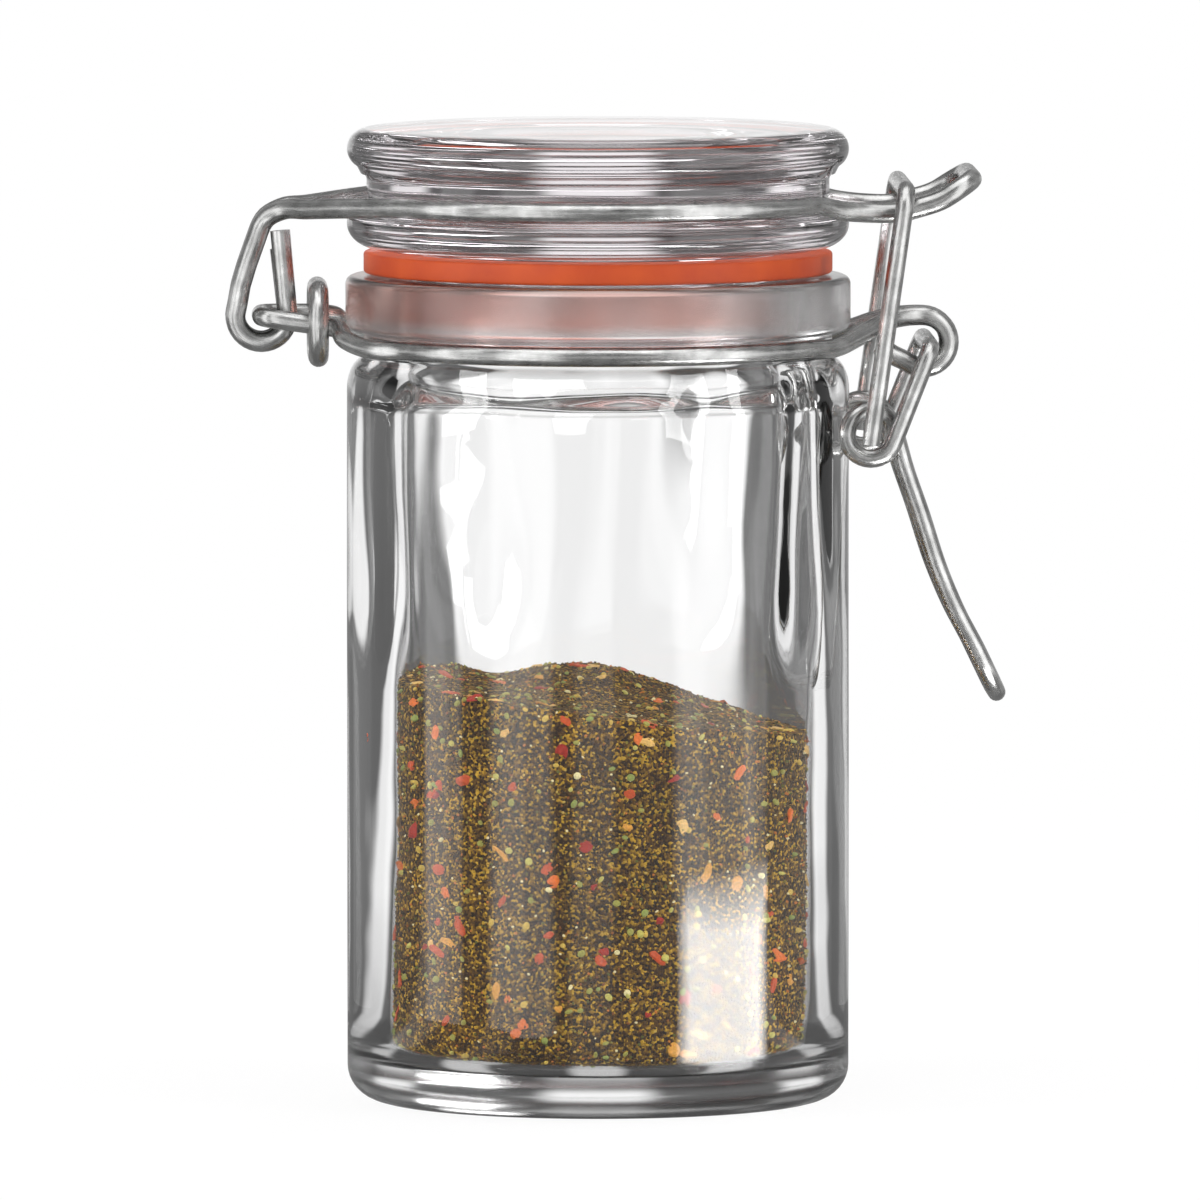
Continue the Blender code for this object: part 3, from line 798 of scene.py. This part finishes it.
link = {"wire": 0.9, "barX": 30.2, "barZ": 91.0, "legY": 11.5, "bend": 2.2}
linkHalf = roundedPath(
    [
        (link["barX"], 0, link["barZ"]), (link["barX"], -link["legY"], link["barZ"]),
        (lever["coilX"], -link["legY"], lever["coilZ"]),
    ],
    [link["bend"]],
)
linkPiece = bentWire("clampLinkRound", otherSide(linkHalf)[::-1] + linkHalf[1:], link["wire"], roundEnds=True)
print("wires bent")


herbs = {
    "radius": 20.3, "low": 4.35, "bend": 2.4, "top": 39.9, "heap": 2.6, "peak": (2.0, 8.0), "spread": 90.0,
    "slope": 0.135, "sunk": 0.3, "around": 144, "levels": 14, "topRings": 22,
    "lumps": ((0.55, 0.22, 4.0), (0.25, 0.8, 9.0)),
}


def heapHeight(x, y):
    rise = math.exp(-((x - herbs["peak"][0]) ** 2 + (y - herbs["peak"][1]) ** 2) / herbs["spread"])
    rough = sum(high * noise.noise(Vector((x * fine, y * fine, at))) for high, fine, at in herbs["lumps"])
    return herbs["top"] + herbs["heap"] * rise - herbs["slope"] * x + rough - herbs["sunk"]


def heapRings():
    # rings of corners from the bottom's rounded edge up the side and in over the top
    radius, low, bend, levels = herbs["radius"], herbs["low"], herbs["bend"], herbs["levels"]
    turns = [2 * math.pi * i / herbs["around"] for i in range(herbs["around"])]
    rings = []
    for r, z in arcPoints(radius - bend, low + bend, bend, -90, 0, 5):
        rings.append([(r * math.cos(turn), r * math.sin(turn), z) for turn in turns])
    edge = [(radius * math.cos(turn), radius * math.sin(turn)) for turn in turns]
    tops = [heapHeight(x, y) for x, y in edge]
    for k in range(1, levels + 1):
        heights = [low + bend + (top - low - bend) * k / levels for top in tops]
        rings.append([(x, y, z) for (x, y), z in zip(edge, heights)])
    for k in range(1, herbs["topRings"]):
        r = radius * (1 - k / herbs["topRings"])
        inner = [(r * math.cos(turn), r * math.sin(turn)) for turn in turns]
        rings.append([(x, y, heapHeight(x, y)) for x, y in inner])
    return rings


def heapShape():
    around, low = herbs["around"], herbs["low"]
    shape = bmesh.new()
    rings = [[shape.verts.new((x * mm, y * mm, z * mm)) for x, y, z in corners] for corners in heapRings()]
    lowest, highest = shape.verts.new((0, 0, low * mm)), shape.verts.new((0, 0, heapHeight(0, 0) * mm))
    for i in range(around):
        j = (i + 1) % around
        for below, above in zip(rings, rings[1:]):
            shape.faces.new((below[i], below[j], above[j], above[i]))
        shape.faces.new((lowest, rings[0][j], rings[0][i]))
        shape.faces.new((highest, rings[-1][i], rings[-1][j]))
    return smoothMesh("herbHeap", shape, dustFinish)


def scatterTree():
    tree, given = nodeGroup(
        "herbScatter",
        [
            ("Density", "NodeSocketFloat"), ("Smallest", "NodeSocketVector"),
            ("Largest", "NodeSocketVector"), ("Seed", "NodeSocketInt"), ("Facets", "NodeSocketInt"),
            ("Tilt", "NodeSocketFloat"), ("Ragged", "NodeSocketFloat"), ("Finish", "NodeSocketMaterial"),
        ],
    )
    spots = addNode(
        tree, "GeometryNodeDistributePointsOnFaces", {"distribute_method": "RANDOM"},
        {
            "Mesh": given.outputs["Geometry"], "Density": given.outputs["Density"],
            "Seed": given.outputs["Seed"],
        },
    )
    grain = addNode(
        tree, "GeometryNodeMeshIcoSphere", {"Radius": 1.0}, {"Subdivisions": given.outputs["Facets"]},
    )
    sizes = addNode(tree, "FunctionNodeRandomValue", {"data_type": "FLOAT_VECTOR"})
    tree.links.new(given.outputs["Smallest"], sizes.inputs[0])
    tree.links.new(given.outputs["Largest"], sizes.inputs[1])
    tree.links.new(given.outputs["Seed"], sizes.inputs["Seed"])
    tip = addNode(tree, "ShaderNodeMath", {"operation": "MULTIPLY", 1: -1.0}, {0: given.outputs["Tilt"]})
    halfTurn = 3.14159
    lean = addNode(
        tree, "ShaderNodeCombineXYZ", {"Z": -halfTurn}, {"X": tip.outputs[0], "Y": tip.outputs[0]},
    )
    leanTo = addNode(
        tree, "ShaderNodeCombineXYZ", {"Z": halfTurn},
        {"X": given.outputs["Tilt"], "Y": given.outputs["Tilt"]},
    )
    turn = addNode(
        tree, "FunctionNodeRandomValue", {"data_type": "FLOAT_VECTOR"},
        {0: lean.outputs[0], 1: leanTo.outputs[0]},
    )
    tree.links.new(given.outputs["Seed"], turn.inputs["Seed"])
    placed = addNode(
        tree, "GeometryNodeInstanceOnPoints",
        links={
            "Points": spots.outputs["Points"], "Instance": grain.outputs["Mesh"],
            "Rotation": spots.outputs["Rotation"], "Scale": sizes.outputs[0],
        },
    )
    turned = addNode(
        tree, "GeometryNodeRotateInstances", {"Local Space": True},
        {"Instances": placed.outputs["Instances"], "Rotation": turn.outputs[0]},
    )
    shade = addNode(tree, "FunctionNodeRandomValue", {"data_type": "FLOAT"}, {"Seed": given.outputs["Seed"]})
    marked = addNode(
        tree, "GeometryNodeStoreNamedAttribute",
        {"data_type": "FLOAT", "domain": "INSTANCE", "Name": "herbShade"},
        {"Geometry": turned.outputs["Instances"], "Value": shade.outputs[1]},
    )
    real = addNode(tree, "GeometryNodeRealizeInstances", links={"Geometry": marked.outputs["Geometry"]})
    # a ragged outline: every corner is moved by a noise with steps of a third of a millimetre
    rough = addNode(tree, "ShaderNodeTexNoise", {"Scale": patternScale(0.3125), "Detail": 1.0})
    centred = addNode(
        tree, "ShaderNodeVectorMath", {"operation": "SUBTRACT", 1: (0.5, 0.5, 0.5)},
        {0: rough.outputs["Color"]},
    )
    moved = addNode(
        tree, "ShaderNodeVectorMath", {"operation": "SCALE"},
        {0: centred.outputs["Vector"], "Scale": given.outputs["Ragged"]},
    )
    torn = addNode(
        tree, "GeometryNodeSetPosition",
        links={"Geometry": real.outputs["Geometry"], "Offset": moved.outputs["Vector"]},
    )
    done = addNode(
        tree, "GeometryNodeSetMaterial",
        links={"Geometry": torn.outputs["Geometry"], "Material": given.outputs["Finish"]},
    )
    addNode(tree, "NodeGroupOutput", links={"Geometry": done.outputs["Geometry"]})
    return tree


herbScatter = scatterTree()
heapMesh = heapShape()
heapPiece = addObject("herbHeapCore", heapMesh)


def scatterHerbs(name, density, smallest, largest, seed, facets, tilt, ragged, finish):
    source = addObject(name + "Source", heapMesh.copy())
    values = {
        "Density": density, "Smallest": [v * mm for v in smallest], "Largest": [v * mm for v in largest],
        "Seed": seed, "Facets": facets, "Tilt": tilt, "Ragged": ragged * mm, "Finish": finish,
    }
    piece = applyGroup(source, herbScatter, values, name)
    print(name, len(piece.data.polygons), "faces")
    return piece


# Density is pieces on a square metre, and the heap's skin is about 0.007 of one. Sizes are halves, in mm.
grainPiece = scatterHerbs(
    "herbGrains", density=1300000.0, smallest=(0.11, 0.10, 0.07), largest=(0.21, 0.18, 0.15), seed=3,
    facets=1, tilt=0.9, ragged=0.08, finish=grainFinish,
)
seedPiece = scatterHerbs(
    "herbSeeds", density=90000.0, smallest=(0.18, 0.18, 0.14), largest=(0.46, 0.44, 0.26), seed=7,
    facets=2, tilt=0.5, ragged=0.08, finish=seedFinish,
)
flakePiece = scatterHerbs(
    "herbFlakes", density=40000.0, smallest=(0.34, 0.24, 0.08), largest=(1.15, 0.7, 0.16), seed=11,
    facets=2, tilt=0.25, ragged=0.5, finish=flakeFinish,
)
print("herbs heaped")

dressed = [
    (jarPiece, "jar", "glass_jar", "clear_glass"), (lidPiece, "lid", "glass_lid", "clear_glass"),
    (gasketPiece, "lid", "rubber_gasket", "orange_rubber"), (neckPiece, "jar", "neck_wire", "zinc_wire"),
    (ringPiece, "jar", "closing_ring", "zinc_wire"), (lidWirePiece, "lid", "lid_wire", "zinc_wire"),
    (leverPiece, "lever", "clamp_lever", "zinc_wire"), (linkPiece, "link", "clamp_link", "zinc_wire"),
    (heapPiece, "jar", "herb_filling", "herb_mix"), (grainPiece, "jar", None, "herb_mix"),
    (seedPiece, "jar", None, "herb_mix"), (flakePiece, "jar", None, "herb_mix"),
]
for piece, body, node, finishSlot in dressed:
    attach(piece, body)
    if node:
        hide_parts(node)
print("pieces ride on their bodies")

studio = {
    "floorRadius": 9.0, "lens": 623.0, "distance": 2.06, "height": 0.206, "azimuth": -1.75,
    "aim": (0.0002, 0.0, 0.0497), "floorLevel": -0.0004, "floorCorners": 96, "bands": 8.0,
}


def stageMesh(name, corners, material, faces):
    mesh = bpy.data.meshes.new(name)
    mesh.from_pydata(corners, [], faces)
    mesh.materials.append(material)
    thing = addObject(name, mesh)
    return thing


def glassBands(tree, x, y):
    # Seen through the glass the studio has white walls at every eighth turn from the camera, and grey ones
    # between them. So from any of those turns the jar has a clear middle and dark edges.
    bands = studio["bands"]
    turn = addNode(tree, "ShaderNodeMath", {"operation": "ARCTAN2"}, {0: y, 1: x})
    eighth = addNode(
        tree, "ShaderNodeMath",
        {"operation": "MULTIPLY_ADD", 1: bands, 2: -bands * math.radians(studio["azimuth"] - 90)},
        {0: turn.outputs[0]},
    )
    wave = addNode(tree, "ShaderNodeMath", {"operation": "COSINE"}, {0: eighth.outputs[0]})
    band = addNode(
        tree, "ShaderNodeMapRange",
        {
            "interpolation_type": "SMOOTHSTEP", "From Min": 0.0, "From Max": 0.75, "To Min": 0.12,
            "To Max": 1.0,
        },
        {"Value": wave.outputs[0]},
    )
    return band.outputs["Result"]


def paperMaterial():
    # White seamless paper: white behind the jar and in its glass, with a soft share of the jar's shadow.
    material, tree = startMaterial("whiteSeamlessPaper")
    matt = addNode(tree, "ShaderNodeBsdfDiffuse", {"Color": (0.8, 0.8, 0.8, 1.0)})
    rays = addNode(tree, "ShaderNodeLightPath")
    place = addNode(tree, "ShaderNodeTexCoord")
    away = addNode(tree, "ShaderNodeVectorMath", {"operation": "LENGTH"}, {0: place.outputs["Object"]})
    # Through the glass, the paper lies in the jar's shade close by. In shiny skins it is dim, as the room is.
    bent = addNode(
        tree, "ShaderNodeMapRange", {"From Min": 0.03, "From Max": 0.3, "To Min": 0.55, "To Max": 1.0},
        {"Value": away.outputs["Value"]},
    )
    shine = addNode(
        tree, "ShaderNodeMapRange", {"From Min": 0.7, "From Max": 2.0, "To Min": 0.24, "To Max": 1.0},
        {"Value": away.outputs["Value"]},
    )
    side = addNode(tree, "ShaderNodeSeparateXYZ", links={"Vector": place.outputs["Object"]})
    banded = addNode(
        tree, "ShaderNodeMath", {"operation": "MULTIPLY"},
        {0: bent.outputs["Result"], 1: glassBands(tree, side.outputs["X"], side.outputs["Y"])},
    )
    level = addNode(
        tree, "ShaderNodeMix", {"data_type": "FLOAT"},
        {0: rays.outputs["Is Transmission Ray"], 2: shine.outputs["Result"], 3: banded.outputs[0]},
    )
    level = addNode(
        tree, "ShaderNodeMix", {"data_type": "FLOAT", 3: 1.0},
        {0: rays.outputs["Is Camera Ray"], 2: level.outputs[0]},
    )
    glow = addNode(tree, "ShaderNodeEmission", links={"Strength": level.outputs[0]})
    # The camera's share fades to pure white half a metre out, past the reach of the shadow.
    paper = addNode(
        tree, "ShaderNodeMapRange", {"From Min": 0.06, "From Max": 0.5, "To Min": 0.9, "To Max": 1.0},
        {"Value": away.outputs["Value"]},
    )
    share = addNode(
        tree, "ShaderNodeMath", {"operation": "MULTIPLY"},
        {0: rays.outputs["Is Camera Ray"], 1: paper.outputs["Result"]},
    )
    for ray in ("Is Glossy Ray", "Is Transmission Ray"):
        share = addNode(
            tree, "ShaderNodeMath", {"operation": "MAXIMUM"}, {0: share.outputs[0], 1: rays.outputs[ray]},
        )
    both = addNode(
        tree, "ShaderNodeMixShader", links={0: share.outputs[0], 1: matt.outputs[0], 2: glow.outputs[0]},
    )
    finishMaterial(tree, both.outputs[0])
    return material


def cardMaterial(name, strength):
    # a lit card that thins out towards its edges, and that a refracted ray passes by
    material, tree = startMaterial(name)
    soft = addNode(tree, "ShaderNodeAttribute", {"attribute_name": "cardSoft"})
    rays = addNode(tree, "ShaderNodeLightPath")
    met = addNode(
        tree, "ShaderNodeMath", {"operation": "SUBTRACT", 0: 1.0}, {1: rays.outputs["Is Transmission Ray"]},
    )
    seen = addNode(
        tree, "ShaderNodeMath", {"operation": "MULTIPLY"}, {0: soft.outputs["Fac"], 1: met.outputs[0]},
    )
    lit = addNode(tree, "ShaderNodeEmission", {"Strength": strength})
    clear = addNode(tree, "ShaderNodeBsdfTransparent")
    shown = addNode(
        tree, "ShaderNodeMixShader", links={0: seen.outputs[0], 1: clear.outputs[0], 2: lit.outputs[0]},
    )
    finishMaterial(tree, shown.outputs[0])
    return material


def windowCard(name, azimuth, spread, low, high, fadeTop, material, away=0.11):
    # a flat card that faces the jar; azimuth and spread are degrees, 0 is towards the camera
    turn = math.radians(azimuth + studio["azimuth"] - 90)
    middle = Vector((math.cos(turn), math.sin(turn), 0.0)) * away
    across = Vector((-math.sin(turn), math.cos(turn), 0.0)) * away * math.tan(math.radians(spread))
    columns = ((-1.0, 0.0), (-0.72, 1.0), (0.72, 1.0), (1.0, 0.0))
    rows = ((low, 1.0), (high - fadeTop, 1.0), (high, 0.0))
    corners = [
        tuple(middle + across * side + Vector((0.0, 0.0, z)))
        for z, up in rows
        for side, soft in columns
    ]
    card = stageMesh(
        name, corners, material,
        [(4 * j + i, 4 * j + i + 1, 4 * j + i + 5, 4 * j + i + 4) for j in range(2) for i in range(3)],
    )
    softness = card.data.attributes.new("cardSoft", "FLOAT", "POINT")
    softness.data.foreach_set("value", [up * soft for z, up in rows for side, soft in columns])
    card.visible_camera = card.visible_diffuse = card.visible_shadow = card.visible_transmission = False


floorRadius, floorCorners = studio["floorRadius"], studio["floorCorners"]
floorTurns = [2 * math.pi * i / floorCorners for i in range(floorCorners)]
rim = [(floorRadius * math.cos(t), floorRadius * math.sin(t), studio["floorLevel"]) for t in floorTurns]
stageMesh("paperFloor", rim, paperMaterial(), [tuple(range(floorCorners))])
# Windows that only shiny skins see: soft upright ones, a low bright one at the right, and dim ones behind.
dayWindow = cardMaterial("windowCard", 1.9)
brightWindow = cardMaterial("brightWindowCard", 17.0)
farWindow = cardMaterial("farWindowCard", 0.42)
# degrees from the camera, half width in degrees, then low and high end, fade and distance in metres
windows = (
    ("leftWindow", -32, 15.0, 0.0, 0.3, 0.02, dayWindow),
    ("sideWindow", -68, 11.0, 0.0, 0.3, 0.02, dayWindow),
    ("rightWindow", 51, 21.0, 0.012, 0.3, 0.02, dayWindow),
    ("lowWindow", 51, 21.0, 0.0, 0.0205, 0.006, brightWindow, 0.07),
)
for row in windows:
    windowCard(*row)
for azimuth in (112, 148, 231):
    windowCard(f"farWindow{azimuth}", azimuth, 15.0, 0.0, 0.3, 0.02, farWindow)


jarMiddle = Vector((0, 0, 0.05))


def softbox(name, azimuth, elevation, distance, width, height, power):
    lamp = bpy.data.lights.new(name, "AREA")
    lamp.shape = "RECTANGLE"
    lamp.size, lamp.size_y = width, height
    lamp.energy = power
    holder = addObject(name, lamp)
    a, e = math.radians(azimuth - 90), math.radians(elevation)
    towards = Vector((math.cos(a) * math.cos(e), math.sin(a) * math.cos(e), math.sin(e)))
    holder.location = towards * distance + jarMiddle
    holder.rotation_euler = (jarMiddle - holder.location).to_track_quat("-Z", "Y").to_euler()
    holder.visible_camera = False
    # wire and glass mirror only the lamp overhead
    holder.visible_glossy = elevation > 60


# degrees round from the front, degrees up, then distance, width and height in metres, and watts
lamps = (
    ("leftStrip", -66, 12, 1.3, 0.32, 1.2, 9.0), ("leftFront", -30, 20, 1.6, 0.5, 0.9, 6.0),
    ("rightStrip", 60, 15, 1.3, 0.3, 1.1, 8.0), ("overhead", 10, 82, 1.2, 1.2, 1.2, 9.0),
    ("backLeft", 150, 30, 1.5, 0.5, 0.8, 5.0),
)
for row in lamps:
    softbox(*row)

world = bpy.data.worlds.new("studioWhite")
bpy.context.scene.world = world
world.use_nodes = True
sky = world.node_tree
sky.nodes.clear()
rays = addNode(sky, "ShaderNodeLightPath")
way = addNode(sky, "ShaderNodeTexCoord")
height = addNode(sky, "ShaderNodeSeparateXYZ", links={"Vector": way.outputs["Generated"]})
# The white walls of the studio end at head height, and its ceiling is dim: glass and wire show both.
wall = addNode(
    sky, "ShaderNodeMapRange", {"From Min": 0.1, "From Max": 0.35, "To Min": 1.0, "To Max": 0.25},
    {"Value": height.outputs["Z"]},
)
behind = addNode(
    sky, "ShaderNodeMath", {"operation": "MULTIPLY"},
    {0: wall.outputs["Result"], 1: glassBands(sky, height.outputs["X"], height.outputs["Y"])},
)
room = addNode(
    sky, "ShaderNodeMapRange", {"From Min": 0.06, "From Max": 0.22, "To Min": 1.0, "To Max": 0.24},
    {"Value": height.outputs["Z"]},
)
level = 0.55  # for light that falls on the jar
for ray, seen in (
    ("Is Glossy Ray", room.outputs["Result"]), ("Is Transmission Ray", behind.outputs[0]),
    ("Is Camera Ray", 1.0),
):
    choice = addNode(sky, "ShaderNodeMix", {"data_type": "FLOAT"}, {0: rays.outputs[ray]})
    for slot, value in ((2, level), (3, seen)):
        if isinstance(value, float):
            choice.inputs[slot].default_value = value
        else:
            sky.links.new(value, choice.inputs[slot])
    level = choice.outputs[0]
glow = addNode(sky, "ShaderNodeBackground", {"Color": (1.0, 1.0, 1.0, 1.0)}, {"Strength": level})
addNode(sky, "ShaderNodeOutputWorld", links={"Surface": glow.outputs[0]})

camera = bpy.data.cameras.new("photoView")
camera.lens, camera.sensor_width = studio["lens"], 36.0
camera.clip_start, camera.clip_end = 0.05, 50.0
eye = addObject("photoView", camera)
turn = math.radians(studio["azimuth"] - 90)
eye.location = (studio["distance"] * math.cos(turn), studio["distance"] * math.sin(turn), studio["height"])
eye.rotation_euler = (Vector(studio["aim"]) - eye.location).to_track_quat("-Z", "Y").to_euler()
bpy.context.scene.camera = eye
bpy.context.scene.view_settings.view_transform = "Standard"
print("studio set")
